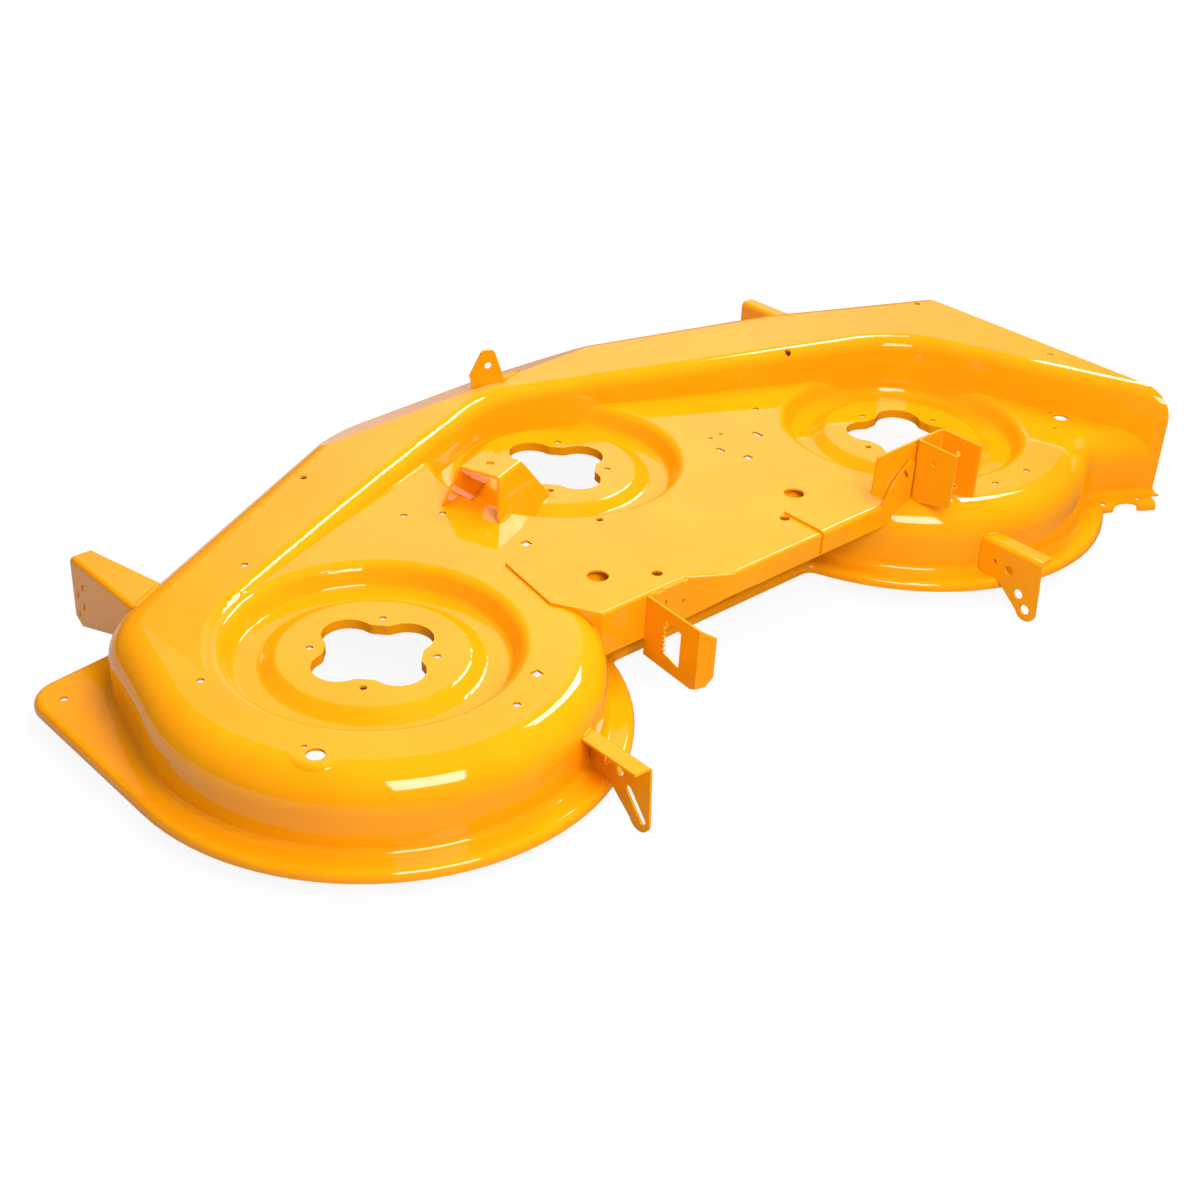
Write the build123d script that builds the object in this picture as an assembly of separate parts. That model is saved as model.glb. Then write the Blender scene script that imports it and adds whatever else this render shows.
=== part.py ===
from build123d import *
from math import acos, atan2, cos, degrees, hypot, radians, sin, sqrt, tan
import os

# Lawn mower deck: one drawn steel shell with welded brackets, before any running gear is fitted.
# Millimetres. +X is the discharge side, +Y the front, +Z up.
# The origin is the middle spindle axis at the top of its seat.

# Sheet and spindle layout
sheet = 3.0
span = 902.0
lead = 216.0
bolt_circle = 139.7
bolt_hole = 8.6

# Heights
flat_z = 16.0
tunnel_z = 45.5
tunnel_rise = 0.047
flange_z = -70.0
rim_z = -82.0

# Skirt outline, outer face of the sheet, with gaps measured from the nearest spindle
wall_r = 258.0
front_gap = 248.0
rear_gap = 56.0
end_gap = 265.5
left_touch_deg = 166.0
front_left_deg = 25.6
front_left_gap = 288.5
shoulder_gap = (49.0, 319.0)
front_right_deg = -19.5
end_wall_deg = -27.3
chute_gap = 250.0
chute_deg = 150.0
chute_run = 110.0
left_corner_r = 110.0
front_corner_r = 90.0
shoulder_r = 40.0
rear_corner_r = 50.0
chute_corner_r = 40.0

# Top roundings, front facet and rim
round_r = 40.0
tunnel_edge_r = 20.0
crease_gap = 78.0
facet_deg = 25.0
flange_width = 32.0
flange_root_r = 12.0
rim_r = 8.0

# Wheel lug at the left front of the flange
lug_front_gap = 256.0
lug_front_deg = 8.0
lug_width = 181.0
lug_r = 42.0
lug_joint_r = 60.0

# Chute end of the flange: trimmed end, scalloped edge
chute_trim = 9.0
chute_trim_width = 10.0
scallop_r = 40.0
scallop_place = (54.0, 65.0)

# Inner wall of the tunnel: the belt path round three circles, and each circle's growth per unit height
left_path_r = 174.0
middle_path_r = 132.0
right_path_r = 158.0
left_path_slope = 1.0
middle_path_slope = 0.12
right_path_slope = 0.12
path_start_deg = 186.0
path_end_deg = 20.0
path_drop = 30.0
path_head = 84.0
path_reach = 420.0

# Spindle seat: raised plateau, groove round it, wall up to the belt deck
plateau_r = 106.5
groove_in_r = 124.5
groove_out_r = 152.0
groove_z = -10.0
seat_wall_r = 165.0
seat_edge_r = 14.0
seat_corner_r = 8.0
lobe_reach = 76.0
lobe_r = 30.0
lobe_blend_r = 14.0
neck_r = 54.0
lip_depth = 12.0

# Wash port on the left bowl, with the pad that keeps it level
boss_gap = 196.0
boss_deg = 218.6
boss_r = 42.0
boss_edge_r = 8.0
wash_port_d = 20.0

# Holes in the shell, from the left, middle and right spindle
hole_d = 9.0
small_hole_d = 6.0
square_hole = 11.0
slot_width = 8.0
left_holes = ((-259, 219), (-187, 46), (-28, 209), (139, 334), (43, -191))
middle_holes = ((-72, -166), (-215, -37), (-256, -13))
right_holes = ((-29, 195), (236, 176), (241, -62), (-133, 154), (-43, -191), (21, -194))
left_small_holes = ((-169, -116),)
right_small_holes = ((-250, 127), (-230, 128), (200, -105), (161, -140))
left_port = (-168, -134)
right_port = (198, -124)
left_squares = ((97, -160),)
right_squares = ((-97, -160), (-251, 57))
middle_squares = ((-182, -156),)
right_slots = ((-190, 97, 18), (-265, 94, 14))
chute_holes = ((30, 16), (88, 25))

# Welded brackets: sheet, clearance to what they stand on, bends
plate_t = 3.0
fit_gap = 0.25
bend_r = 6.0

# Rear centre plate, measured from the middle of the line between the outer spindles
plate_side_gap = 199.0
plate_front_y = 35.0
plate_front_taper = 17.0
plate_side_y = -64.0
plate_chamfer = 31.0
plate_rear_y = -118.0
plate_far_y = -146.0
plate_far_chamfer = 12.0
plate_step_gap = 65.0
plate_step_run = 49.0
plate_edge_r = 4.0
deep_flange_z = -40.0
shallow_flange_z = -12.0
big_hole_d = 26.0
big_holes = ((-169, -53), (169, -53))
rear_hole_d = 13.0
rear_holes = ((-110, -91), (110, -91))
dimple_d = 6.0
dimples = ((154, -82), (161, -90), (178, -100))

# Rear right plate, from the upright channel's left side
lap_width = 67.0
lap_length = 125.0
lap_end = 42.0
tongue_low = 9.0
tongue_side = ((-43, 2), (-43, -9), (25, -9), (19, 10), (-1.5, 10), (-1.5, 68), (-9, 73))
tongue_bulge = (-39, 50)
tongue_foot = (-57, 2)
tongue_slot = (5, 16)
tongue_slot_place = (-17, 55)
tongue_slot_deg = -35.0

# Upright channel and gusset
upright_gap = 166.0
upright_width = 52.0
upright_depth = 63.0
upright_top_z = 98.0
upright_foot = 12.0
upright_heel = 10.0
upright_pin_d = 8.0
upright_pins = ((-31, 75), (-34, 30))
gusset_side = ((-73, 94), (-76, 43), -45)
gusset_top_z = 96.0

# Rear hangers: outline as (y, z) from the line between the outer spindles
hanger_gap = 114.0
hanger_top_z = -20.0
hanger_flange = 24.0
hanger_height = 95.0
hanger_root_y = -184.0
hanger_end_y = -323.0
hanger_low_z = -71.0
hanger_notch_y = -266.0
hanger_tip = ((-299, -99), (-313, -108), (-328, -95))
hanger_slot = (46, 9)
hanger_slot_place = (-306, -79)
hanger_slot_deg = -40.0
hanger_hole_d = 12.0
hanger_hole = (-279, -50)
hanger_small_d = 6.0
hanger_small = (-256, -47)

# Height rack bracket: outlines as (y, z) and (x, z)
rack_gap = 299.0
rack_leg_width = 64.0
rack_leg_top = 16.0
rack_leg_low = (-22, -60)
rack_leg_holes = ((29, -1), (58, -10))
rack_hole_d = 5.0
rack_end_y = -204.0
rack_root_z = (17, -62)
rack_end_z = (11, -67, -70)
rack_corner = 8.0
rack_lip = ((0, 11), (-20, 3), (-20, -48), (-12, -62), (0, -67))
rack_lip_deg = 45.0
rack_window = ((-150, 0), (-176, -6), (-176, -52), (-150, -44))
rack_teeth = 7
rack_tooth_r = 2.2
rack_tooth_pitch = 6.0

# Idler bracket, across the belt path between the left and middle spindles
idler_place = (-147.75, -45.0)
idler_deg = 20.4
idler_height = 51.0
idler_length = 51.5
idler_width = 58.0
idler_lean = 16.0
idler_sink = 28.0
idler_side = ((75, 5), (75, -12), (-45, -12), (-45, 20))
idler_hole_d = 10.0

# Front roller brackets: fold line from the nearest outer spindle, then plan and side outlines from it
left_fold = (-167.0, 360.0, 12.0)
right_fold = (56.0, 366.0, 60.0)
left_widths = (26, 51)
right_widths = (20, 24)
roller_length = 190.0
roller_height = 90.0
roller_waist = 110.0
roller_flare = 12.0
roller_tip = 6.0
roller_heel_z = -30.0
roller_side = ((-110, -54), (-14, -87), (0, -78))
roller_slot = (4, 11)
roller_slots = ((-24, -30), (-11, -45), (-23, -57), (-10, -73))
roller_slot_deg = 15.0

# Front lift tab, outline along its own face
tab_start = (10.0, 67.0)
tab_end = (50.0, 85.0)
tab_left = (-7, 15)
tab_sink = 16.0
tab_right = (2, 7)
tab_head = ((27, 51), (10, 50))
tab_head_r = (8, 6)
tab_foot = ((10, 67), (50, 85), (86, 74), (78, 52), (24, 45))
tab_hole = (19, 28)
tab_hole_d = 10.0

# Derived positions
left = (-span / 2, -lead)
right = (span / 2, -lead)
middle = (0.0, 0.0)
spindles = ((left, 45.0), (middle, 45.0), (right, 0.0))
rear_line = Pos(0, -lead, 0)
hanger_x = span / 2 - hanger_gap
rack_x = rack_gap - span / 2
upright_x = span / 2 - upright_gap
front_y = front_gap
rear_y = -lead - rear_gap
end_x = right[0] + end_gap
chute_y = right[1] - chute_gap
shoulder = (right[0] + shoulder_gap[0], right[1] + shoulder_gap[1])
far_x = end_x + 180.0
low_z = rim_z - 60.0
high_z = 200.0
reach = 3000.0


def polar(centre, radius, angle):
    """Point at a radius and an angle in degrees from a centre."""
    return (centre[0] + radius * cos(radians(angle)), centre[1] + radius * sin(radians(angle)))


def meet(p, p_deg, q, q_deg):
    """Where the line through p at p_deg crosses the line through q at q_deg."""
    a = polar((0, 0), 1, p_deg)
    b = polar((0, 0), 1, q_deg)
    run = ((q[0] - p[0]) * b[1] - (q[1] - p[1]) * b[0]) / (a[0] * b[1] - a[1] * b[0])
    return (p[0] + run * a[0], p[1] + run * a[1])


def shifted(points, x, y):
    """Points moved by x and y."""
    return [(p[0] + x, p[1] + y) for p in points]


def prism(face, z0, z1):
    """Upright prism on a plan face."""
    return extrude(Pos(0, 0, z0) * face, z1 - z0)


def polygon(*points):
    """Plan face with straight sides."""
    return make_face(Polyline(*points, close=True))


def round_corner(face, point, radius):
    """Round the corner of a plan face that lies nearest a point."""
    plain = Face(face.faces()[0].outer_wire())
    corner = min(plain.vertices(), key=lambda v: hypot(v.X - point[0], v.Y - point[1]))
    return plain.fillet_2d(radius, [corner])


def soften(solid, edges, radius):
    """Round edges, with a smaller radius where there is no room for the full one."""
    for share in (1.0, 0.7, 0.4):
        try:
            rounded = fillet(edges, radius * share)
        except Exception:
            continue
        if rounded.is_valid:
            return rounded
    return solid


def level_edges(solid, z):
    """Edges that lie in the level plane z."""
    found = []
    for edge in solid.edges():
        box = edge.bounding_box()
        if abs(box.min.Z - z) < 0.01 and abs(box.max.Z - z) < 0.01:
            found.append(edge)
    return found


def skirt_outline():
    """Plan outline of the skirt wall, with its corners rounded."""
    touch = polar(left, wall_r, left_touch_deg)
    on_front_left = polar(left, front_left_gap, front_left_deg + 90)
    a = meet(touch, left_touch_deg - 90, on_front_left, front_left_deg)
    b = meet(on_front_left, front_left_deg, (0, front_y), 0)
    c = meet((0, front_y), 0, shoulder, front_right_deg)
    d = meet(shoulder, end_wall_deg, (far_x, 0), 90)
    e = meet((end_x, chute_y), chute_deg, (far_x, 0), 90)
    inner = polar((end_x, chute_y), 1.45 * chute_run, chute_deg)
    half = span / 2 - wall_r / 2.5
    core = polygon((-half, rear_y), (half, rear_y), (right[0], right[1] - wall_r / 5), inner,
                   e, d, shoulder, c, b, a, touch, left)
    face = (core + Pos(*left) * Circle(wall_r) + Pos(*right) * Circle(wall_r)).faces()[0]
    notch = span / 2 - sqrt(wall_r ** 2 - rear_gap ** 2)
    corners = (
        (a, left_corner_r),
        (b, front_corner_r),
        (c, front_corner_r),
        (shoulder, shoulder_r),
        ((-notch, rear_y), rear_corner_r),
        ((notch, rear_y), rear_corner_r),
        (polar((end_x, chute_y), chute_run, chute_deg), chute_corner_r),
    )
    for point, radius in corners:
        face = round_corner(face, point, radius)
    return face


skirt = skirt_outline()


def flange_outline(depth):
    """Plan outline of the rim flange with the wheel lug at its left front."""
    face = offset(skirt, flange_width - depth, kind=Kind.ARC).faces()[0]
    lug_x = left[0] - wall_r - flange_width + depth
    corner = (lug_x, left[1] + lug_front_gap - depth)
    tip = meet(corner, lug_front_deg, (lug_x + lug_width, 0), 90)
    lug = polygon((lug_x, left[1]), (tip[0], left[1]), tip, corner)
    lug = round_corner(lug, corner, lug_r - depth)
    face = (face + lug).faces()[0]
    edge = polar(left, front_left_gap + flange_width - depth, front_left_deg + 90)
    joint = meet(edge, front_left_deg, corner, lug_front_deg)
    return round_corner(face, joint, lug_joint_r + depth)


def belt_path(radii, z):
    """Face behind the belt path, closed well outside the deck."""
    def normal(c0, r0, c1, r1):
        """Direction of the outer tangent's normal, in degrees."""
        dx, dy = c1[0] - c0[0], c1[1] - c0[1]
        return degrees(atan2(dy, dx) + acos((r0 - r1) / hypot(dx, dy)))

    def arc(centre, radius, a0, a1):
        mid = (a0 + a1) / 2
        ends = [polar(centre, radius, angle) for angle in (a0, mid, a1)]
        return ThreePointArc(*ends)

    r0, r1, r2 = radii
    first = normal(left, r0, middle, r1)
    second = normal(middle, r1, right, r2)
    far_left = polar(left, path_reach, path_start_deg)
    leave = polar(right, r2, path_end_deg)
    out = polar(leave, path_reach, path_end_deg - 90)
    edges = [
        Line(far_left, polar(left, r0, path_start_deg)),
        arc(left, r0, path_start_deg, first),
        Line(polar(left, r0, first), polar(middle, r1, first)),
        arc(middle, r1, first, second),
        Line(polar(middle, r1, second), polar(right, r2, second)),
        arc(right, r2, second, path_end_deg),
        Line(leave, out),
        Line(out, (out[0], -reach)),
        Line((out[0], -reach), (-reach, -reach)),
        Line((-reach, -reach), far_left),
    ]
    return Pos(0, 0, z) * make_face(edges)


def belt_space(depth):
    """Everything behind the tunnel's inner wall, from below the deck to above the tunnel."""
    radii = (left_path_r, middle_path_r, right_path_r)
    slopes = (left_path_slope, middle_path_slope, right_path_slope)
    at_deck = [(r + depth * sqrt(1 + s * s), s) for r, s in zip(radii, slopes)]
    foot = belt_path([r - path_drop * s for r, s in at_deck], flat_z - path_drop)
    head = belt_path([r + path_head * s for r, s in at_deck], flat_z + path_head)
    wall = loft([foot, head], ruled=True)
    return wall + extrude(foot, low_z - flat_z, dir=(0, 0, 1))


def seat_recess(depth):
    """Space inside one spindle seat, as a turned body."""
    top = flat_z
    slope = atan2(top - groove_z, seat_wall_r - groove_out_r)
    run = seat_edge_r * tan(slope / 2)
    start = (seat_wall_r - run * cos(slope), top - run * sin(slope))
    centre = (seat_wall_r + run, top - seat_edge_r)
    half = (degrees(slope) + 180) / 2
    middle_point = polar(centre, seat_edge_r, half)
    stop = (centre[0], top)
    lines = FilletPolyline((0, 0), (plateau_r, 0), (groove_in_r, groove_z), (groove_out_r, groove_z), start,
                           radius=seat_corner_r)
    cap = Polyline(stop, (stop[0], high_z), (0, high_z), (0, 0))
    face = make_face(lines.edges() + ThreePointArc(start, middle_point, stop).edges() + cap.edges())
    if depth:
        half_plane = Rectangle(reach, reach, align=(Align.MIN, Align.CENTER))
        face = offset(face, depth, kind=Kind.ARC) & half_plane
    return revolve(Plane.XZ * face, Axis.Z)


def tunnel_plane(y, z, fall_deg, depth):
    """Plane that rises to the right with the tunnel top, falls to the front, and lies under the face."""
    normal = Vector(-tunnel_rise, tan(radians(fall_deg)), 1).normalized()
    return Plane(origin=Vector(0, y, z) - normal * depth, x_dir=(1, 0, tunnel_rise), z_dir=normal)


def tunnel(outline, depth):
    """Raised front part of the deck."""
    body = prism(outline, low_z, high_z)
    top = tunnel_plane(0, tunnel_z, 0, depth)
    body = split(body, top, keep=Keep.BOTTOM)
    rim = body.faces().sort_by(Axis.Z)[-1].edges()
    body = fillet(rim, round_r - depth)
    space = belt_space(depth)
    body = body - space
    face = max((f for f in body.faces() if f.normal_at().Z > 0.98), key=lambda f: f.area)
    inner = []
    for edge in face.edges():
        point = edge.position_at(0.5)
        bearing = degrees(atan2(point.Y - left[1], point.X - left[0])) % 360
        if abs(bearing - path_start_deg) > 1 and space.distance_to(Vertex(*point)) < 0.01:
            inner.append(edge)
    body = soften(body, inner, tunnel_edge_r - depth)
    return split(body, tunnel_plane(front_y - crease_gap, tunnel_z, facet_deg, depth), keep=Keep.BOTTOM)


def port_pad(depth):
    """Level pad on the left bowl's shoulder for the wash port."""
    top = flat_z - depth
    pad = Pos(*polar(left, boss_gap, boss_deg)) * Circle(boss_r - depth)
    pad = prism(pad, low_z, top)
    return fillet(level_edges(pad, top), boss_edge_r - depth)


def outer_form(depth):
    """Solid under the deck's outer face, set in by a depth all over."""
    outline = offset(skirt, -depth, kind=Kind.INTERSECTION).faces()[0] if depth else skirt
    body = prism(outline, low_z, flat_z - depth)
    body = fillet(level_edges(body, flat_z - depth), round_r - depth)
    body = body + port_pad(depth)
    recess = seat_recess(depth)
    for centre, turn in spindles:
        body = body - Pos(*centre) * recess
    body = body + (tunnel(outline, depth) - Pos(*left) * recess)
    rim_outline = flange_outline(depth)
    rim = prism(rim_outline, low_z, flange_z - depth)
    rim = soften(rim, level_edges(rim, flange_z - depth), rim_r - depth)
    body = body + rim
    wall = outline.outer_wire()
    root = []
    for edge in level_edges(body, flange_z - depth):
        point = edge.position_at(0.5)
        if wall.distance_to(Vertex(point.X, point.Y, 0)) < 0.05:
            root.append(edge)
    return soften(body, root, flange_root_r + depth)


def seat_opening(turn, grow):
    """Four-lobed opening of a spindle seat, lobes midway between the bolts."""
    face = Circle(neck_r)
    for quarter in range(4):
        face = face + Pos(*polar((0, 0), lobe_reach - lobe_r, 90 * quarter)) * Circle(lobe_r)
    face = fillet(face.vertices(), lobe_blend_r)
    if grow:
        face = offset(face, grow, kind=Kind.ARC)
    return Rot(0, 0, turn + 45) * face


def drill(points, size):
    """Upright round holes."""
    return [prism(Pos(x, y) * Circle(size / 2), low_z, high_z) for x, y in points]


def near(spindle, points):
    """Points given from a spindle, as points of the deck."""
    return shifted(points, spindle[0], spindle[1])


def chute_cuts():
    """What is taken off the flange at the chute: its end, a scallop and two holes."""
    place = Pos(end_x, chute_y, 0) * Rot(0, 0, chute_deg)
    end = Pos(chute_trim, chute_trim_width) * Rectangle(span, span, align=(Align.MAX, Align.MIN))
    face = end + Pos(*scallop_place) * Circle(scallop_r)
    for point in chute_holes:
        face = face + Pos(*point) * Circle(hole_d / 2)
    return place * prism(face, low_z, flange_z + sheet)


def deck_shell(solid):
    """The drawn sheet: outer form less the same form set in by the sheet thickness."""
    shell = solid - outer_form(sheet)
    keep = Pos(end_x, 0, rim_z) * Box(reach, reach, reach, align=(Align.MAX, Align.CENTER, Align.MIN))
    shell = shell & keep
    for centre, turn in spindles:
        place = Pos(*centre)
        lip = prism(seat_opening(turn, sheet), -lip_depth, -sheet / 2)
        hole = prism(seat_opening(turn, 0), low_z, high_z)
        shell = shell + place * lip - place * hole
        bolts = [polar(centre, bolt_circle / 2, turn + 90 * k) for k in range(4)]
        shell = shell - drill(bolts, bolt_hole)
    plain = near(left, left_holes) + near(middle, middle_holes) + near(right, right_holes)
    small = near(left, left_small_holes) + near(right, right_small_holes)
    ports = near(left, [left_port]) + near(right, [right_port])
    shell = shell - drill(plain, hole_d) - drill(small, small_hole_d) - drill(ports, wash_port_d)
    squares = near(left, left_squares) + near(middle, middle_squares) + near(right, right_squares)
    windows = [Pos(x, y) * Rectangle(square_hole, square_hole) for x, y in squares]
    for x, y, length in right_slots:
        windows.append(Pos(right[0] + x, right[1] + y) * SlotOverall(length, slot_width, rotation=90))
    shell = shell - [prism(window, low_z, high_z) for window in windows]
    return shell - chute_cuts()


def upright_sheet(points, y, thickness):
    """Flat sheet standing across the deck, outline given as (x, z), front face at y."""
    return extrude(Plane.XZ * polygon(*points), thickness, dir=(0, -1, 0)).moved(Location((0, y, 0)))


def side_sheet(points, x, thickness):
    """Flat sheet standing along the deck, outline given as (y, z), left face at x."""
    return extrude(Plane.YZ * polygon(*points), thickness).moved(Location((x, 0, 0)))


def cross_holes(x, points, size, length):
    """Holes along X through sheets that stand along the deck, centres given as (y, z)."""
    return [Pos(x, y, z) * Rot(0, 90, 0) * Cylinder(size / 2, length) for y, z in points]


def angle_section(flange, height, length, side):
    """Bent angle: top leg along X towards the side, other leg down, bend along Y at the origin."""
    outer = polygon((side * flange, 0), (0, 0), (0, -height), (side * plate_t, -height),
                    (side * plate_t, -plate_t), (side * flange, -plate_t))
    outer = round_corner(outer, (0, 0), bend_r)
    outer = round_corner(outer, (side * plate_t, -plate_t), bend_r - plate_t)
    return extrude(Plane.XZ * outer, length, dir=(0, 1, 0))


def rear_centre_plate():
    """Plate over the rear of the belt deck, bent down along its rear edge."""
    side_x = span / 2 - plate_side_gap
    step_x = rack_x + plate_step_gap
    face = polygon((plate_front_taper - side_x, plate_front_y), (-side_x, plate_side_y),
                   (plate_chamfer - side_x, plate_rear_y), (step_x, plate_rear_y),
                   (step_x + plate_step_run, plate_far_y), (side_x - plate_far_chamfer, plate_far_y),
                   (side_x, plate_side_y), (side_x - plate_front_taper, plate_front_y))
    base_z = flat_z + fit_gap
    body = prism(face, deep_flange_z, base_z + plate_t)
    slope = (shallow_flange_z - deep_flange_z) / (plate_far_y - plate_rear_y)
    under = Plane(origin=(0, plate_rear_y, deep_flange_z), x_dir=(1, 0, 0), z_dir=(0, -slope, 1))
    body = split(body, under, keep=Keep.TOP)
    bend = []
    for edge in level_edges(body, base_z + plate_t):
        point = edge.position_at(0.5)
        if point.Y < plate_side_y - bend_r and abs(point.X) < side_x - plate_front_taper:
            bend.append(edge)
    body = soften(body, bend, plate_edge_r)
    hollow = offset(face, -plate_t, kind=Kind.INTERSECTION)
    front = Pos(0, plate_side_y + 1) * Rectangle(reach, reach, align=(Align.CENTER, Align.MIN))
    body = body - prism(hollow, low_z, base_z) - prism(front, low_z, base_z)
    body = body - drill(big_holes, big_hole_d) - drill(rear_holes, rear_hole_d) - drill(dimples, dimple_d)
    return rear_line * body


def rear_right_plate():
    """Second plate lapped over the first, with a tongue left standing beside the upright."""
    base_z = flat_z + plate_t + 2 * fit_gap
    outer_y = plate_far_y - fit_gap - plate_t
    strip = angle_section(lap_width, base_z + plate_t + tongue_low, lap_length, 1)
    strip = Pos(-lap_end, outer_y, base_z + plate_t) * Rot(0, 0, 90) * strip
    foot = (tongue_foot[0], base_z)
    outline = Polyline(foot, tongue_foot, *tongue_side).edges()
    outline = outline + ThreePointArc(tongue_side[-1], tongue_bulge, foot).edges()
    tongue = extrude(Plane.XZ * make_face(outline), plate_t, dir=(0, -1, 0))
    tongue = Pos(0, outer_y + plate_t, 0) * tongue
    width, length = tongue_slot
    slot = Pos(tongue_slot_place[0], outer_y, tongue_slot_place[1]) * Rot(0, tongue_slot_deg, 0)
    slot = slot * Box(width, 4 * plate_t, length)
    return rear_line * Pos(upright_x, 0, 0) * (strip + tongue - slot)


def upright_channel():
    """Tall channel, open to the rear."""
    web_y = plate_far_y + 1
    low = flat_z - sheet

    def block(inset, top):
        """Box behind the web's front face, with its two front corners bent."""
        place = Pos(upright_x + inset, web_y - inset, low)
        size = (upright_width - 2 * inset, upright_depth, top - low)
        box = place * Box(*size, align=(Align.MIN, Align.MAX, Align.MIN))
        bends = [e for e in box.edges().filter_by(Axis.Z) if e.center().Y > web_y - inset - 1]
        return fillet(bends, bend_r - inset)

    body = block(0, upright_top_z) - block(plate_t, high_z)
    channel_rear = web_y - upright_depth
    foot = polygon((web_y - upright_heel, low), (channel_rear, low), (channel_rear, low + upright_foot))
    body = body - extrude(Plane.YZ * foot, reach)
    near_pin, far_pin = shifted(upright_pins, web_y, 0)
    pins = cross_holes(upright_x, [near_pin], upright_pin_d, 2 * reach)
    pins = pins + cross_holes(upright_x + upright_width, [far_pin], upright_pin_d, upright_width)
    return rear_line * (body - pins)


def upright_gusset():
    """Upright sheet in front of the channel's web, standing out to its left."""
    bottom = flat_z + 2 * plate_t + 3 * fit_gap
    end = upright_width - bend_r
    high, waist, foot = gusset_side
    points = [high, waist, (foot, bottom), (end, bottom), (end, gusset_top_z)]
    sheet_y = plate_far_y + 1 + fit_gap + plate_t
    return rear_line * Pos(upright_x, 0, 0) * upright_sheet(points, sheet_y, plate_t)


def rear_hanger(side):
    """Angle hanger behind an outer bowl: flange turned outwards, leg with a slanted slot."""
    tip_y = hanger_tip[-1][0]
    body = angle_section(hanger_flange, hanger_height, hanger_root_y - tip_y, side)
    body = body.moved(Location((side * hanger_x, tip_y, hanger_top_z)))
    above = hanger_top_z + bend_r
    sides = Polyline(hanger_tip[-1], (hanger_end_y, above), (hanger_root_y, above),
                     (hanger_root_y, hanger_low_z), (hanger_notch_y, hanger_low_z), hanger_tip[0])
    outline = make_face(sides.edges() + ThreePointArc(*hanger_tip).edges())
    body = body & extrude(Plane.YZ * outline, reach, both=True)
    slot = Rot(0, 90, 0) * Rot(0, 0, hanger_slot_deg) * SlotOverall(*hanger_slot)
    slot = Pos(0, *hanger_slot_place) * slot
    body = body - extrude(slot, reach, dir=(1, 0, 0), both=True)
    holes = cross_holes(side * hanger_x, [hanger_hole], hanger_hole_d, hanger_flange)
    holes = holes + cross_holes(side * hanger_x, [hanger_small], hanger_small_d, hanger_flange)
    return rear_line * (body - holes)


def height_rack_bracket():
    """Toothed bracket behind the centre plate: welded leg, window with teeth, bent outer lip."""
    leg_y = plate_rear_y - fit_gap
    leg_low, root_low = rack_leg_low
    leg = [(0, rack_leg_top), (rack_leg_width, rack_leg_top), (rack_leg_width, leg_low), (0, root_low)]
    leg = upright_sheet(leg, leg_y, plate_t)
    root_top, root_foot = rack_root_z
    end_top, end_low, end_foot = rack_end_z
    plate = side_sheet([(leg_y, root_top), (rack_end_y, end_top), (rack_end_y, end_low),
                        (rack_end_y + rack_corner, end_foot), (leg_y, root_foot)], 0, plate_t)
    lip = Pos(0, rack_end_y, 0) * Rot(0, 0, rack_lip_deg) * side_sheet(rack_lip, 0, plate_t)
    window = polygon(*rack_window)
    tooth_y = rack_window[0][0]
    for k in range(rack_teeth):
        window = window + Pos(tooth_y, -rack_tooth_pitch * (k + 0.5)) * Circle(rack_tooth_r)
    body = leg + plate + lip - extrude(Plane.YZ * window, rack_leg_width, both=True)
    for x, z in rack_leg_holes:
        body = body - Pos(x, leg_y, z) * Rot(90, 0, 0) * Cylinder(rack_hole_d / 2, 4 * plate_t)
    return rear_line * Pos(rack_x, 0, 0) * body


def idler_bracket():
    """Open box bracket across the belt path, legs leaning out to their feet."""
    half = idler_width / 2
    top_z = flat_z + idler_height
    low = flat_z - idler_sink
    foot = half + idler_lean * (top_z - low) / top_z
    outer = polygon((-foot, low), (-half, top_z), (half, top_z), (foot, low))
    outer = round_corner(outer, (-half, top_z), bend_r)
    outer = round_corner(outer, (half, top_z), bend_r)
    inner = polygon((plate_t - foot, low - 1), (plate_t - half, top_z - plate_t),
                    (half - plate_t, top_z - plate_t), (foot - plate_t, low - 1))
    bent = extrude(Plane.YZ * (outer - inner), idler_length * 2, both=True)
    end = idler_length / 2
    side = polygon((-end, top_z + 1), (end, top_z + 1), *idler_side)
    body = bent & extrude(Plane.XZ * side, idler_width * 2, both=True)
    body = body - Pos(0, 0, top_z) * Cylinder(idler_hole_d / 2, 4 * plate_t)
    return Pos(*idler_place) * Rot(0, 0, idler_deg) * body


def front_bracket(spindle, fold, widths):
    """Angle bracket standing forward of the skirt, flange tapering to its tip."""
    tip_width, root_width = widths
    base_width = root_width + roller_flare
    body = angle_section(base_width + bend_r, roller_height, roller_length, 1)
    body = body.moved(Location((0, -roller_length, 0)))
    plan = polygon((0, -roller_length), (0, 0), (tip_width, roller_tip), (root_width, -roller_waist),
                   (base_width, -roller_length))
    elevation = polygon((2 * roller_tip, bend_r), (-roller_length, bend_r), (-roller_length, roller_heel_z),
                        *roller_side)
    body = body & prism(plan, -high_z, high_z) & extrude(Plane.YZ * elevation, reach, both=True)
    width, length = roller_slot
    for y, z in roller_slots:
        body = body - Pos(0, y, z) * Rot(roller_slot_deg, 0, 0) * Box(4 * plate_t, width, length)
    return Pos(spindle[0] + fold[0], spindle[1] + fold[1], fold[2]) * body


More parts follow.
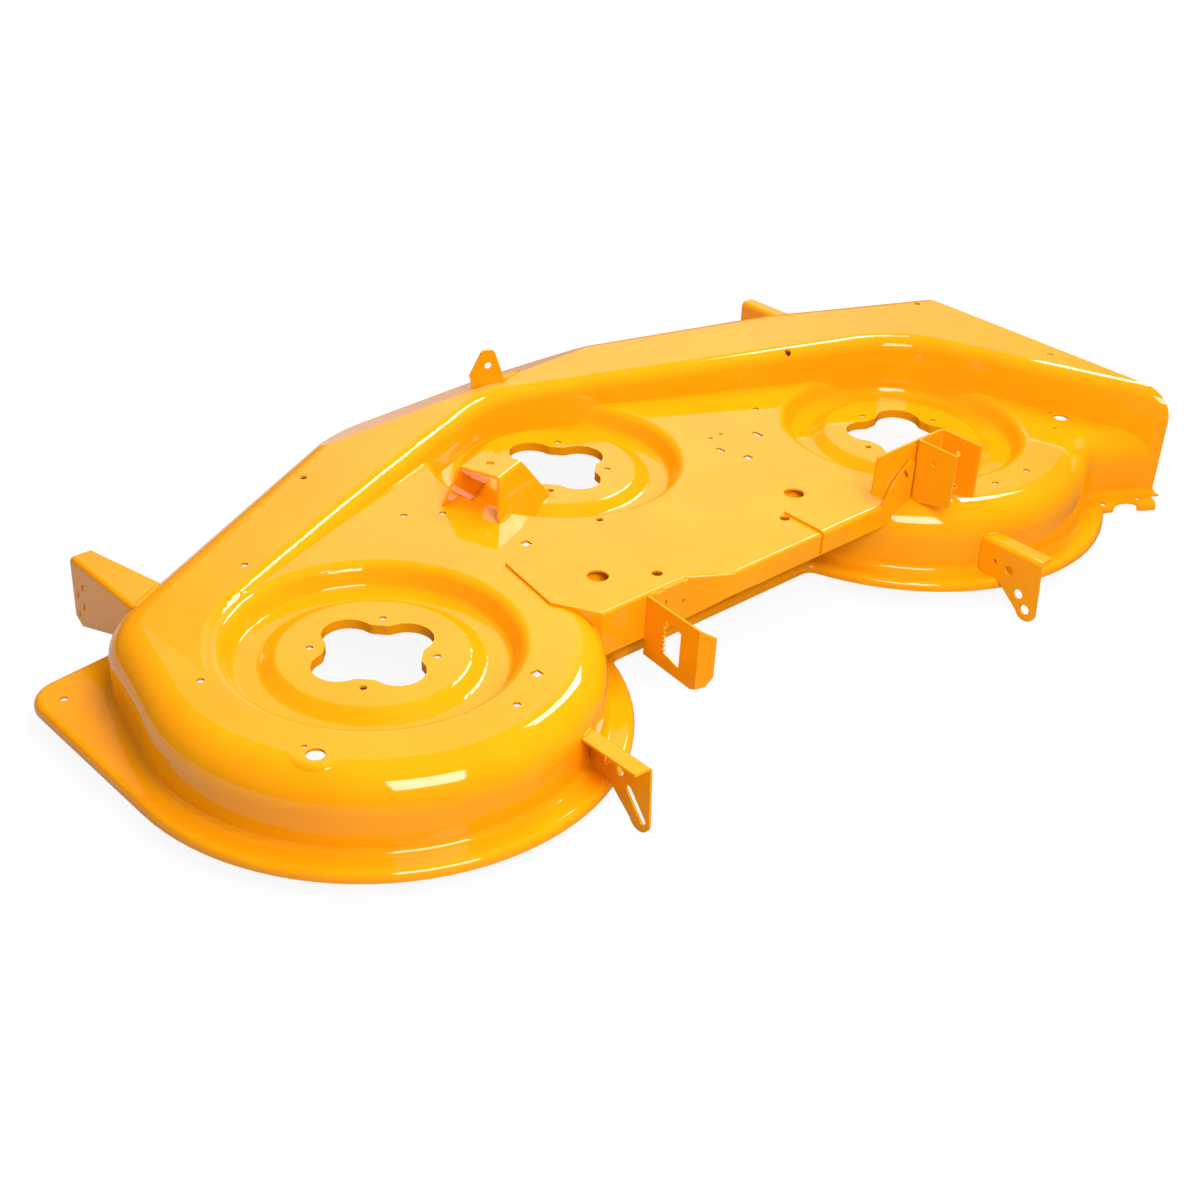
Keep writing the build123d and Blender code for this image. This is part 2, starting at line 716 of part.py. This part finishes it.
def front_lift_tab():
    """Upright tab with one hole, and its foot on the front facet."""
    start = (tab_start[0], front_y - tab_start[1])
    dx = tab_end[0] - tab_start[0]
    dy = tab_start[1] - tab_end[1]
    run = hypot(dx, dy)
    face = polygon(tab_left, (0, -tab_sink), (run, -tab_sink), (run - tab_right[0], tab_right[1]), *tab_head)
    for point, radius in zip(tab_head, tab_head_r):
        face = round_corner(face, point, radius)
    face = face - Pos(*tab_hole) * Circle(tab_hole_d / 2)
    tab = Pos(*start, tunnel_z) * Rot(0, 0, degrees(atan2(dy, dx))) * extrude(Plane.XZ * face, plate_t)
    foot = prism(polygon(*[(x, front_y - gap) for x, gap in tab_foot]), low_z, high_z)
    above = -fit_gap - plate_t
    foot = split(foot, tunnel_plane(0, tunnel_z, 0, above), keep=Keep.BOTTOM)
    foot = split(foot, tunnel_plane(front_y - crease_gap, tunnel_z, facet_deg, above), keep=Keep.BOTTOM)
    return tab + foot


outer = outer_form(0)
clear = outer_form(-fit_gap)
nodes = {
    "deck_shell": deck_shell(outer),
    "rear_centre_plate": rear_centre_plate() - clear,
    "rear_right_plate": rear_right_plate() - clear,
    "left_rear_hanger": rear_hanger(-1) - clear,
    "right_rear_hanger": rear_hanger(1) - clear,
    "height_rack_bracket": height_rack_bracket() - clear,
    "idler_bracket": idler_bracket() - clear,
    "upright_channel": upright_channel() - clear,
    "upright_gusset": upright_gusset() - clear,
    "front_left_bracket": front_bracket(left, left_fold, left_widths) - clear,
    "front_right_bracket": front_bracket(right, right_fold, right_widths) - clear,
    "front_lift_tab": front_lift_tab() - clear,
}
os.makedirs("parts", exist_ok=True)
for name, shape in nodes.items():
    solids = sorted(shape.solids(), key=lambda s: s.volume)
    export_step(solids[-1], f"parts/{name}.step")
    print(name, len(solids), [round(s.volume) for s in solids], solids[-1].is_valid)
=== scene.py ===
# %% [markdown]
# # A painted mower deck, dressed for its portrait
# The part is a bare deck: one deep-drawn sheet of steel with eleven welded brackets, all under one coat of
# glossy yellow-orange paint. The solids come packed and in place, so this script adds only what they leave
# out: the paint, two holes in one bracket, the weld beads, the studio and the camera. The first thing to do
# with any ready-made frame is to measure it, because nothing that is added later may change its size.

import math

import bpy
from mathutils import Matrix, Vector
from mathutils.bvhtree import BVHTree


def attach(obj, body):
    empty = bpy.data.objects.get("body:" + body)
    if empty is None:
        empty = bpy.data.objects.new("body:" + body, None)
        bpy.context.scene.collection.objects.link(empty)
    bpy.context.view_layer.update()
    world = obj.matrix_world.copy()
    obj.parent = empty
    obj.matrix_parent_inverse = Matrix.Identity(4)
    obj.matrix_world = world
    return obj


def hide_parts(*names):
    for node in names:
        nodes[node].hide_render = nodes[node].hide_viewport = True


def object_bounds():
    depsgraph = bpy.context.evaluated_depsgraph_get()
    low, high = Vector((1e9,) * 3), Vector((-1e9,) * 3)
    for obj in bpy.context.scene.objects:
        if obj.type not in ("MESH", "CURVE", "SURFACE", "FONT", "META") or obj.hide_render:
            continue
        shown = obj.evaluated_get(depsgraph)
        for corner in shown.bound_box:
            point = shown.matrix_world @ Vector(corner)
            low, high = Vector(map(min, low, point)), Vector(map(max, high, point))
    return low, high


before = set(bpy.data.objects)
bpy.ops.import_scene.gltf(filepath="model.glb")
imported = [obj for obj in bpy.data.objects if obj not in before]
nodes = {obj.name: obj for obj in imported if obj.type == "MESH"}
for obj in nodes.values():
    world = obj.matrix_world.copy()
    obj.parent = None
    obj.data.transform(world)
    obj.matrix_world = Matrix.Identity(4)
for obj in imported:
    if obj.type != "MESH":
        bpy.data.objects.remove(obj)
cad_low, cad_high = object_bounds()
scene = bpy.context.scene
MILLIMETRES = 1000.0
print("deck", [round(v, 3) for v in cad_high - cad_low], "m,", len(nodes), "pieces of steel")

# %% [markdown]
# ## Camera
# The picture is taken from the left rear, about 31 degrees above the floor, with a slight lean to one side.
# A camera can be aimed with a Track To constraint, but that leaves no room for the lean. Here the three axes
# of the camera are worked out from its yaw, pitch and roll and written into its matrix, which says exactly
# what the lens does and needs no helper objects.

# %% Camera axes
CAMERA_YAW = math.radians(44.16)
CAMERA_PITCH = math.radians(31.29)
CAMERA_ROLL = math.radians(3.36)

forward = Vector((
    math.sin(CAMERA_YAW) * math.cos(CAMERA_PITCH),
    math.cos(CAMERA_YAW) * math.cos(CAMERA_PITCH),
    -math.sin(CAMERA_PITCH),
))
level_right = Vector((math.cos(CAMERA_YAW), -math.sin(CAMERA_YAW), 0.0))
level_up = level_right.cross(forward)
lens_right = math.cos(CAMERA_ROLL) * level_right + math.sin(CAMERA_ROLL) * level_up
lens_up = -math.sin(CAMERA_ROLL) * level_right + math.cos(CAMERA_ROLL) * level_up
print("camera looks along", [round(v, 3) for v in forward])

# %% Camera
CAMERA_PLACE = Vector((-1.416, -1.559, 1.077))
FOCAL_PIXELS = 1796.0
IMAGE_PIXELS = 1200.0
SENSOR_WIDTH = 36.0

camera_data = bpy.data.cameras.new("deck_camera")
camera_data.sensor_width = SENSOR_WIDTH
camera_data.lens = SENSOR_WIDTH * FOCAL_PIXELS / IMAGE_PIXELS
camera = bpy.data.objects.new("deck_camera", camera_data)
scene.collection.objects.link(camera)
turn = Matrix((lens_right, lens_up, -forward)).transposed()
camera.matrix_world = Matrix.Translation(CAMERA_PLACE) @ turn.to_4x4()
scene.camera = camera
print("lens", round(camera_data.lens, 1), "mm at", [round(v, 2) for v in CAMERA_PLACE])

# %% [markdown]
# ## Node helpers
# Every finish below is built from the same few steps: add a node, fill in its sockets, read a noise at a
# place. Writing those steps once keeps the finishes short enough to read as recipes.

# %% Node helpers


def add_node(tree, kind, **values):
    """A shader node with its settings and sockets filled in."""
    node = tree.nodes.new(kind)
    for key, value in values.items():
        if hasattr(node, key):
            setattr(node, key, value)
        else:
            node.inputs[key.replace("_", " ")].default_value = value
    return node


def noise(tree, place, scale, detail):
    """A noise read at a place, with features about 1/scale metres across."""
    node = add_node(tree, "ShaderNodeTexNoise", Scale=scale, Detail=detail)
    tree.links.new(place, node.inputs["Vector"])
    return node.outputs["Fac"]


print("helpers:", add_node.__name__, "and", noise.__name__)

# %% [markdown]
# ## Paint
# Deck paint is a thick gloss coat. Up close it isn't one colour: it is a little deeper where the spray ran
# thin, its surface has the fine ripple that painters call orange peel, and the gloss changes slightly from
# place to place. An image texture could carry that, but it would need unwrapping and would blur close up.
# Noise in object space works on every piece at once and stays sharp, so the coat is built from three noises:
# a broad one for the colour, a middle one for the gloss, and a fine one for the ripple. Each is given below
# by its features per metre and its detail.

# %% Paint: colour, gloss and ripple
PAINT_FULL = (0.93, 0.345, 0.003, 1.0)
PAINT_THIN = (0.92, 0.320, 0.002, 1.0)
THIN_BELOW = 0.35
FULL_ABOVE = 0.65
COLOUR_NOISE = (9.0, 4.0)
GLOSS_NOISE = (45.0, 3.0)
RIPPLE_NOISE = (420.0, 2.0)


def paint_colour(tree, place):
    """Colour that is deeper where the coat is thin."""
    ramp = add_node(tree, "ShaderNodeValToRGB")
    thin, full = ramp.color_ramp.elements
    thin.position = THIN_BELOW
    thin.color = PAINT_THIN
    full.position = FULL_ABOVE
    full.color = PAINT_FULL
    tree.links.new(noise(tree, place, *COLOUR_NOISE), ramp.inputs["Fac"])
    return ramp.outputs["Color"]


def paint_gloss(tree, place, low, high):
    """Roughness that wanders between two values."""
    spread = add_node(tree, "ShaderNodeMapRange", To_Min=low, To_Max=high)
    tree.links.new(noise(tree, place, *GLOSS_NOISE), spread.inputs["Value"])
    return spread.outputs["Result"]


def paint_ripple(tree, place, depth):
    """Bump node with the orange peel, its depth in metres."""
    bump = add_node(tree, "ShaderNodeBump", Strength=1.0, Distance=depth)
    tree.links.new(noise(tree, place, *RIPPLE_NOISE), bump.inputs["Height"])
    return bump


spots = [MILLIMETRES / scale for scale, _ in (COLOUR_NOISE, GLOSS_NOISE, RIPPLE_NOISE)]
print("paint varies over", [round(spot, 1) for spot in spots], "mm")

# %% [markdown]
# ## Coats
# Paint also rounds every cut edge a little. A Bevel modifier could do that, but it would move the points of
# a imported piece. A Bevel node turns the shading normal near the edges instead, which catches the same thin
# line of light. The shell is drawn and has few sharp edges, so only the brackets and the beads get it.
# Sprayed brackets are slightly rougher than the broad smooth shell.

# %% Coats
PAINT_IOR = 1.5
EDGE_SAMPLES = 4


def deck_paint(name, peel, gloss_low, gloss_high, edge):
    """Gloss paint: orange-peel depth in metres, a range of roughness, edge rounding in metres."""
    paint = bpy.data.materials.new(name)
    paint.use_nodes = True
    tree = paint.node_tree
    shader = tree.nodes["Principled BSDF"]
    place = add_node(tree, "ShaderNodeTexCoord").outputs["Object"]
    bump = paint_ripple(tree, place, peel)
    if edge:
        rounding = add_node(tree, "ShaderNodeBevel", samples=EDGE_SAMPLES, Radius=edge)
        tree.links.new(rounding.outputs["Normal"], bump.inputs["Normal"])
    tree.links.new(paint_colour(tree, place), shader.inputs["Base Color"])
    tree.links.new(paint_gloss(tree, place, gloss_low, gloss_high), shader.inputs["Roughness"])
    tree.links.new(bump.outputs["Normal"], shader.inputs["Normal"])
    shader.inputs["IOR"].default_value = PAINT_IOR
    return paint


shell_paint = deck_paint("deck_paint", peel=0.000012, gloss_low=0.03, gloss_high=0.08, edge=0.0)
bracket_paint = deck_paint(
    "deck_paint_on_brackets", peel=0.000015, gloss_low=0.04, gloss_high=0.10, edge=0.0009
)
for name, node in nodes.items():
    node.data.materials.clear()
    node.data.materials.append(shell_paint if name == "deck_shell" else bracket_paint)
print("painted", len(nodes), "pieces")

# %% [markdown]
# ## Right hanger
# The solids have the right hanger as the mirror image of the left one, with a slanted slot in its tongue.
# The real one has two round holes there. It could be drawn again from nothing, but only the tongue is
# different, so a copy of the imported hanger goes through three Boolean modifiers: the first fills the slot
# with a plug of the same sheet, and the others drill the holes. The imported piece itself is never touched.
# The tools are prisms that lie along x, with outlines in the plane of the tongue.

# %% Right hanger: tools
HOLE_SIDES = 40


def side_prism(outline, low_x, high_x):
    """A closed prism that runs along x, from an outline of (y, z) in millimetres."""
    count = len(outline)
    points = [Vector((x, y, z)) / MILLIMETRES for x in (low_x, high_x) for y, z in outline]
    faces = [tuple(reversed(range(count))), tuple(range(count, 2 * count))]
    for k in range(count):
        ahead = (k + 1) % count
        faces.append((k, ahead, ahead + count, k + count))
    mesh = bpy.data.meshes.new("prism")
    mesh.from_pydata(points, [], faces)
    prism = bpy.data.objects.new("prism", mesh)
    scene.collection.objects.link(prism)
    return prism


def round_outline(middle, radius):
    """Outline of a round hole."""
    turns = [2 * math.pi * k / HOLE_SIDES for k in range(HOLE_SIDES)]
    return [(middle[0] + radius * math.cos(a), middle[1] + radius * math.sin(a)) for a in turns]


def slot_outline(middle, lean, length, width):
    """Outline of a plug that covers a slanted slot."""
    along = Vector((-math.sin(lean), -math.cos(lean)))
    across = Vector((-along.y, along.x))
    signs = ((-1, -1), (1, -1), (1, 1), (-1, 1))
    return [Vector(middle) + a * along * length / 2 + b * across * width / 2 for a, b in signs]


print("tools for holes with", HOLE_SIDES, "sides")

# %% Right hanger: fill and drill
SHEET_LOW = 337.0
SHEET_HIGH = 340.0
SLOT_PLUG = slot_outline((-522.0, -79.0), lean=math.radians(40.0), length=47.0, width=10.0)
TIP_HOLES = ((-514.0, -76.0), (-527.5, -93.0))
TIP_HOLE_RADIUS = 6.8
DRILL_REACH = 3.0

tools = [(side_prism(SLOT_PLUG, SHEET_LOW, SHEET_HIGH), "UNION")]
for middle in TIP_HOLES:
    hole = round_outline(middle, TIP_HOLE_RADIUS)
    tools.append((side_prism(hole, SHEET_LOW - DRILL_REACH, SHEET_HIGH + DRILL_REACH), "DIFFERENCE"))
blank = bpy.data.objects.new("hanger_blank", nodes["right_rear_hanger"].data.copy())
scene.collection.objects.link(blank)
for tool, operation in tools:
    step = blank.modifiers.new(operation.lower(), "BOOLEAN")
    step.operation = operation
    step.solver = "EXACT"
    step.object = tool
drilled = bpy.data.meshes.new_from_object(blank.evaluated_get(bpy.context.evaluated_depsgraph_get()))
for helper in [blank] + [tool for tool, _ in tools]:
    bpy.data.objects.remove(helper)
print("right hanger with", len(TIP_HOLES), "holes,", len(drilled.polygons), "faces")

# %% [markdown]
# ## The drilled hanger in its place
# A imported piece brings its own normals, which don't suit the faces that the drilling added. They are
# dropped, and edges sharper than 30 degrees are marked instead, so the flats stay flat and the bend stays
# round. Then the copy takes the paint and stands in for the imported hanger.

# %% Right hanger: finish
SHARP_ANGLE = math.radians(30.0)

packed_normals = drilled.attributes.get("custom_normal")
if packed_normals:
    drilled.attributes.remove(packed_normals)
drilled.shade_smooth()
drilled.set_sharp_from_angle(angle=SHARP_ANGLE)
drilled.materials.clear()
drilled.materials.append(bracket_paint)
right_hanger = bpy.data.objects.new("right_hanger_drilled", drilled)
scene.collection.objects.link(right_hanger)
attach(right_hanger, "root")
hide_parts("right_rear_hanger")
print(right_hanger.name, "stands for the packed hanger")

# %% [markdown]
# ## Paths of the weld beads
# The brackets are welded on in short runs, and the paint goes over the beads. A bead is too irregular to
# draw in the solids, and it belongs to two pieces at once, so it is made here. Each run is given by two
# points near the joint. The path between them is found on the real surfaces: a point is dropped on one
# piece, then on the other, back and forth, until it rests in the corner between them.

# %% Weld paths
CORNER_PASSES = 8
CORNER_STEP = 0.003
LEAST_CORNERS = 6
BEAD_STEP = 0.0004


def surface(name):
    """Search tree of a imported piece."""
    piece = nodes[name]
    points = [piece.matrix_world @ v.co for v in piece.data.vertices]
    return BVHTree.FromPolygons(points, [tuple(p.vertices) for p in piece.data.polygons])


def corner_point(guess, first, second):
    """Rest a point in the corner between two surfaces."""
    for _ in range(CORNER_PASSES):
        last = first.find_nearest(guess)[0]
        guess = second.find_nearest(last)[0]
    return (guess + last) / 2


def bead_path(start, end, first, second):
    """Points of a bead along the corner, one every few tenths of a millimetre."""
    count = max(LEAST_CORNERS, int((end - start).length / CORNER_STEP))
    rough = [corner_point(start.lerp(end, k / count), first, second) for k in range(count + 1)]
    smooth = [rough[0]]
    for k in range(1, count):
        smooth.append((rough[k - 1] + 2 * rough[k] + rough[k + 1]) / 4)
    smooth.append(rough[-1])
    path = []
    for a, b in zip(smooth, smooth[1:]):
        steps = max(1, int((b - a).length / BEAD_STEP))
        path.extend(a.lerp(b, s / steps) for s in range(steps))
    return path + [smooth[-1]]


print("bead points every", BEAD_STEP * MILLIMETRES, "mm")

# %% [markdown]
# ## Shape of a bead
# A bead is a thin tube along its path that swells and shrinks in even steps, as the torch moved on from drop
# to drop. A curve with a bevel would give an even tube, so the rings are set one by one, each with its own
# size, and joined into a closed mesh that tapers at both ends.

# %% Bead rings
BEAD_RING = 12
RIPPLE_PITCH = 0.0021
RIPPLE_DEPTH = 0.16
END_POWER = 6
END_SIZE = 0.05
UPWARDS = Vector((0, 0, 1))


def bead_size(share, run):
    """Size of a ring at a share of the whole bead, with its distance from the start in metres."""
    swell = max(0.0, 1 - (2 * share - 1) ** END_POWER) ** 0.5
    ripple = 1 - RIPPLE_DEPTH * abs(math.sin(math.pi * run / RIPPLE_PITCH))
    return max(END_SIZE, swell) * ripple


def bead_rings(path, radius):
    """Points of all the rings along a path."""
    points = []
    run = 0.0
    last = len(path) - 1
    for k, centre in enumerate(path):
        along = (path[min(k + 1, last)] - path[max(k - 1, 0)]).normalized()
        side = along.cross(UPWARDS).normalized()
        up = side.cross(along)
        if k:
            run += (centre - path[k - 1]).length
        size = radius * bead_size(k / last, run)
        for j in range(BEAD_RING):
            angle = 2 * math.pi * j / BEAD_RING
            points.append(centre + size * (math.cos(angle) * side + math.sin(angle) * up))
    return points


print("bead rings of", BEAD_RING, "points, a ripple every", RIPPLE_PITCH * MILLIMETRES, "mm")

# %% Bead mesh


def bead_mesh(name, path, radius):
    """Rippled tube along a path, closed at both ends."""
    last = (len(path) - 1) * BEAD_RING
    faces = []
    for a in range(0, last, BEAD_RING):
        b = a + BEAD_RING
        for j in range(BEAD_RING):
            i = (j + 1) % BEAD_RING
            faces.append((a + j, a + i, b + i, b + j))
    faces.append(tuple(reversed(range(BEAD_RING))))
    faces.append(tuple(last + j for j in range(BEAD_RING)))
    mesh = bpy.data.meshes.new(name)
    mesh.from_pydata(bead_rings(path, radius), [], faces)
    mesh.shade_smooth()
    return mesh


print("bead ends taper to", END_SIZE, "of the radius")

# %% [markdown]
# ## The runs of weld
# Eight runs are made: the hangers along the top of their flanges, the rack's leg along its top, the corner
# of the centre plate, the idler's foot, the front tab and the front left bracket. The paint lies thicker and
# duller in the ripples, so the beads get a rougher coat of the same colour. Each row below names the run,
# its two pieces, the points near its ends and its radius. The points and the radius are in millimetres.

# %% Weld beads
WELDS = (
    ("left_hanger_weld", "left_rear_hanger", "deck_shell", (-359, -455, -18), (-342, -448, -18), 3.2),
    ("right_hanger_weld", "right_rear_hanger", "deck_shell", (342, -448, -18), (359, -455, -18), 3.2),
    ("rack_weld_short", "height_rack_bracket", "rear_centre_plate", (-149, -335, 18), (-137, -335, 18), 3.4),
    ("rack_weld_long", "height_rack_bracket", "rear_centre_plate", (-129, -335, 18), (-92, -335, 18), 4.0),
    ("plate_corner_weld", "rear_centre_plate", "deck_shell", (-238, -318, -10), (-224, -338, -22), 2.4),
    ("front_left_weld", "front_left_bracket", "deck_shell", (-613, 2, 14), (-568, 27, 14), 3.0),
    ("front_tab_weld", "front_lift_tab", "deck_shell", (56, 160, 50), (84, 172, 52), 2.2),
    ("idler_weld", "idler_bracket", "deck_shell", (-174, -100, 17), (-150, -91, 17), 2.4),
)

weld_paint = deck_paint("deck_paint_on_welds", peel=0.00004, gloss_low=0.10, gloss_high=0.22, edge=0.0002)
surfaces = {piece: surface(piece) for row in WELDS for piece in row[1:3]}
for name, piece, carrier, start, end, radius in WELDS:
    first = Vector(start) / MILLIMETRES
    last = Vector(end) / MILLIMETRES
    path = bead_path(first, last, surfaces[carrier], surfaces[piece])
    bead = bpy.data.objects.new(name, bead_mesh(name, path, radius / MILLIMETRES))
    bead.data.materials.append(weld_paint)
    scene.collection.objects.link(bead)
    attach(bead, "root")
    print(name, "from", [round(v) for v in path[0] * MILLIMETRES], len(bead.data.polygons), "faces")

# %% [markdown]
# ## Floor
# The deck stands on a pale floor that fades into a white background. A plane that runs to the horizon turns
# grey in the distance, where little of the lamps' light arrives. Here the floor is a disc that becomes clear
# towards its rim, so the white of the world takes over without an edge.

# %% Floor disc
FLOOR_RADIUS = 2.4
FLOOR_SIDES = 96
FLOOR_GAP = 0.0005

floor_z = cad_low.z - FLOOR_GAP
rim = [2 * math.pi * k / FLOOR_SIDES for k in range(FLOOR_SIDES)]
floor_points = [(FLOOR_RADIUS * math.cos(a), FLOOR_RADIUS * math.sin(a), floor_z) for a in rim]
floor_mesh = bpy.data.meshes.new("studio_floor")
floor_mesh.from_pydata(floor_points, [], [tuple(range(FLOOR_SIDES))])
floor = bpy.data.objects.new("studio_floor", floor_mesh)
scene.collection.objects.link(floor)
print("floor at", round(floor_z, 3), "m")

# %% [markdown]
# ## Tones of the floor
# A real floor has one tone, but three jobs pull it three ways. The camera should see it pale. The light that
# it throws back up should be weak, so that the walls of the deck keep their depth. And in the gloss of the
# paint it should look dark to the right and rear, where the walls have their full colour, and paler to the
# left and front, where the front bracket and the front edge look washed out. A Light Path node tells the
# three apart.

# %% Floor tones
FLOOR_LOOK = 0.97
FLOOR_BOUNCE = 0.46
MIRRORED_DARK = 0.12
MIRRORED_PALE = 0.55
PALE_SIDE = (-0.7, 0.7, 0.0)
PALE_FROM = -0.2
PALE_TO = 0.6

floor_finish = bpy.data.materials.new("studio_floor")
floor_finish.use_nodes = True
tree = floor_finish.node_tree
rays = add_node(tree, "ShaderNodeLightPath")
spot = add_node(tree, "ShaderNodeTexCoord")
sideways = add_node(tree, "ShaderNodeVectorMath", operation="DOT_PRODUCT")
sideways.inputs[1].default_value = PALE_SIDE
tree.links.new(spot.outputs["Object"], sideways.inputs[0])
mirrored = add_node(tree, "ShaderNodeMapRange", From_Min=PALE_FROM, From_Max=PALE_TO)
mirrored.inputs["To Min"].default_value = MIRRORED_DARK
mirrored.inputs["To Max"].default_value = MIRRORED_PALE
tree.links.new(sideways.outputs["Value"], mirrored.inputs["Value"])
thrown = add_node(tree, "ShaderNodeMapRange", To_Min=FLOOR_BOUNCE)
tree.links.new(rays.outputs["Is Glossy Ray"], thrown.inputs["Value"])
tree.links.new(mirrored.outputs["Result"], thrown.inputs["To Max"])
tone = add_node(tree, "ShaderNodeMapRange", To_Max=FLOOR_LOOK)
tree.links.new(rays.outputs["Is Camera Ray"], tone.inputs["Value"])
tree.links.new(thrown.outputs["Result"], tone.inputs["To Min"])
print("floor tone", FLOOR_LOOK, "to the camera,", FLOOR_BOUNCE, "to the deck")

# %% [markdown]
# ## Glow and fade of the floor
# To the camera the floor is also mostly a light of its own, which keeps the openings of the deck white while
# a very faint shadow stays. A second mix makes it clear towards the rim.

# %% Floor glow and fade
FLOOR_GLOW = 0.92
FADE_FROM = 1.1
FADE_TO = 2.3

pale = add_node(tree, "ShaderNodeBsdfDiffuse")
tree.links.new(tone.outputs["Result"], pale.inputs["Color"])
glow = add_node(tree, "ShaderNodeEmission", Color=(1.0, 1.0, 1.0, 1.0), Strength=1.0)
share = add_node(tree, "ShaderNodeMath", operation="MULTIPLY")
share.inputs[1].default_value = FLOOR_GLOW
tree.links.new(rays.outputs["Is Camera Ray"], share.inputs[0])
lit = add_node(tree, "ShaderNodeMixShader")
tree.links.new(share.outputs["Value"], lit.inputs["Fac"])
tree.links.new(pale.outputs["BSDF"], lit.inputs[1])
tree.links.new(glow.outputs["Emission"], lit.inputs[2])
length = add_node(tree, "ShaderNodeVectorMath", operation="LENGTH")
tree.links.new(spot.outputs["Object"], length.inputs[0])
fade = add_node(tree, "ShaderNodeMapRange", interpolation_type="SMOOTHSTEP")
fade.inputs["From Min"].default_value = FADE_FROM
fade.inputs["From Max"].default_value = FADE_TO
tree.links.new(length.outputs["Value"], fade.inputs["Value"])
clear = add_node(tree, "ShaderNodeBsdfTransparent")
whole = add_node(tree, "ShaderNodeMixShader")
tree.links.new(fade.outputs["Result"], whole.inputs["Fac"])
tree.links.new(lit.outputs["Shader"], whole.inputs[1])
tree.links.new(clear.outputs["BSDF"], whole.inputs[2])
tree.links.new(whole.outputs["Shader"], tree.nodes["Material Output"].inputs["Surface"])
tree.nodes.remove(tree.nodes["Principled BSDF"])
floor_mesh.materials.append(floor_finish)
print("floor fades from", FADE_FROM, "to", FADE_TO, "m")

# %% [markdown]
# ## World: what the paint mirrors
# A gloss finish shows the room it stands in, so the room matters as much as the paint. The level tops of the
# deck mirror a patch of white backdrop behind it, which turns them pale. Everything else that the paint
# mirrors above the floor is dark, so the walls keep their full colour. A real card could hang there, but it
# would stand in the way of other views. The world does it instead: the nearer a mirrored ray comes to the
# middle of the patch, the whiter it is.

# %% World mirror
BACKDROP = (0.601, 0.679, 0.423)
BACKDROP_EDGE = 0.94
MIRROR_DARK = 0.06
WHITE = 1.0

world = bpy.data.worlds.new("studio")
scene.world = world
world.use_nodes = True
air = world.node_tree
looking = add_node(air, "ShaderNodeTexCoord").outputs["Generated"]


def towards(direction, edge, low, high):
    """A level that rises from low to high as a ray turns to a direction."""
    facing = add_node(air, "ShaderNodeVectorMath", operation="DOT_PRODUCT")
    facing.inputs[1].default_value = direction
    air.links.new(looking, facing.inputs[0])
    rise = add_node(air, "ShaderNodeMapRange", From_Min=edge, From_Max=1.0, To_Min=low, To_Max=high)
    air.links.new(facing.outputs["Value"], rise.inputs["Value"])
    return rise.outputs["Result"]


mirror = towards(BACKDROP, BACKDROP_EDGE, MIRROR_DARK, WHITE)
print("backdrop patch reaches", round(math.degrees(math.acos(BACKDROP_EDGE))), "degrees from its middle")

# %% [markdown]
# ## World: fill light
# The soft fill is stronger from the right than from the left, because in the picture the left wall and the
# front left bracket are darker than the rest. The camera itself sees plain white. Two mixes choose between
# the three: one for mirrored rays, one for the camera's own.

# %% World fill
FILL_SIDE = (0.85, -0.30, 0.43)
FILL_EDGE = -1.0
FILL_LOW = 0.24
FILL_HIGH = 0.80

fill = towards(FILL_SIDE, FILL_EDGE, FILL_LOW, FILL_HIGH)
rays = add_node(air, "ShaderNodeLightPath")
fill_or_mirror = add_node(air, "ShaderNodeMix", data_type="FLOAT")
air.links.new(rays.outputs["Is Glossy Ray"], fill_or_mirror.inputs["Factor"])
air.links.new(fill, fill_or_mirror.inputs["A"])
air.links.new(mirror, fill_or_mirror.inputs["B"])
level = add_node(air, "ShaderNodeMix", data_type="FLOAT")
level.inputs["B"].default_value = WHITE
air.links.new(rays.outputs["Is Camera Ray"], level.inputs["Factor"])
air.links.new(fill_or_mirror.outputs["Result"], level.inputs["A"])
background = air.nodes["Background"]
background.inputs["Color"].default_value = (1.0, 1.0, 1.0, 1.0)
air.links.new(level.outputs["Result"], background.inputs["Strength"])
print("world fill from", FILL_LOW, "to", FILL_HIGH)

# %% [markdown]
# ## Softboxes
# The bright panes on the bowls tell where the lamps stood: a mirror of the view ray in the paint points
# straight at the lamp. Two lamps explain most of them: a wide one to the right of the camera and a tall one
# far to the right of the deck. Point lamps would give hard little stars. Area lamps give panes with clean
# edges, and their light falls off across the deck as it does in the picture. A third lamp hangs over the
# middle and lifts the tops. It is hidden from reflections, because the picture shows no pane of it.

# %% Softboxes
DECK_MIDDLE = Vector((0.0, -0.1, 0.0))


def softbox(name, place, width, height, radiance):
    """A lamp aimed at the deck, with the brightness of its face."""
    data = bpy.data.lights.new(name, "AREA")
    data.shape = "RECTANGLE"
    data.size = width
    data.size_y = height
    data.energy = radiance * math.pi * width * height
    lamp = bpy.data.objects.new(name, data)
    lamp.location = place
    lamp.rotation_euler = (Vector(place) - DECK_MIDDLE).to_track_quat("Z", "Y").to_euler()
    scene.collection.objects.link(lamp)
    print(name, "at", [round(v, 2) for v in place])
    return lamp


softbox("softbox_rear", (-0.66, -1.63, 1.42), width=1.0, height=0.9, radiance=11.0)
softbox("softbox_right", (2.1, 0.5, 2.3), width=0.7, height=1.2, radiance=13.0)
overhead = softbox("softbox_overhead", (0.1, -0.15, 1.5), width=1.2, height=0.8, radiance=4.4)
overhead.visible_glossy = False

# %% [markdown]
# ## Sizes and view
# The beads lie in corners of the steel and the drilled hanger is as large as the imported one, so the box
# round the dressed deck stays the box that was packed. The last step sets the Standard view transform.

# %% View transform
scene.view_settings.view_transform = "Standard"
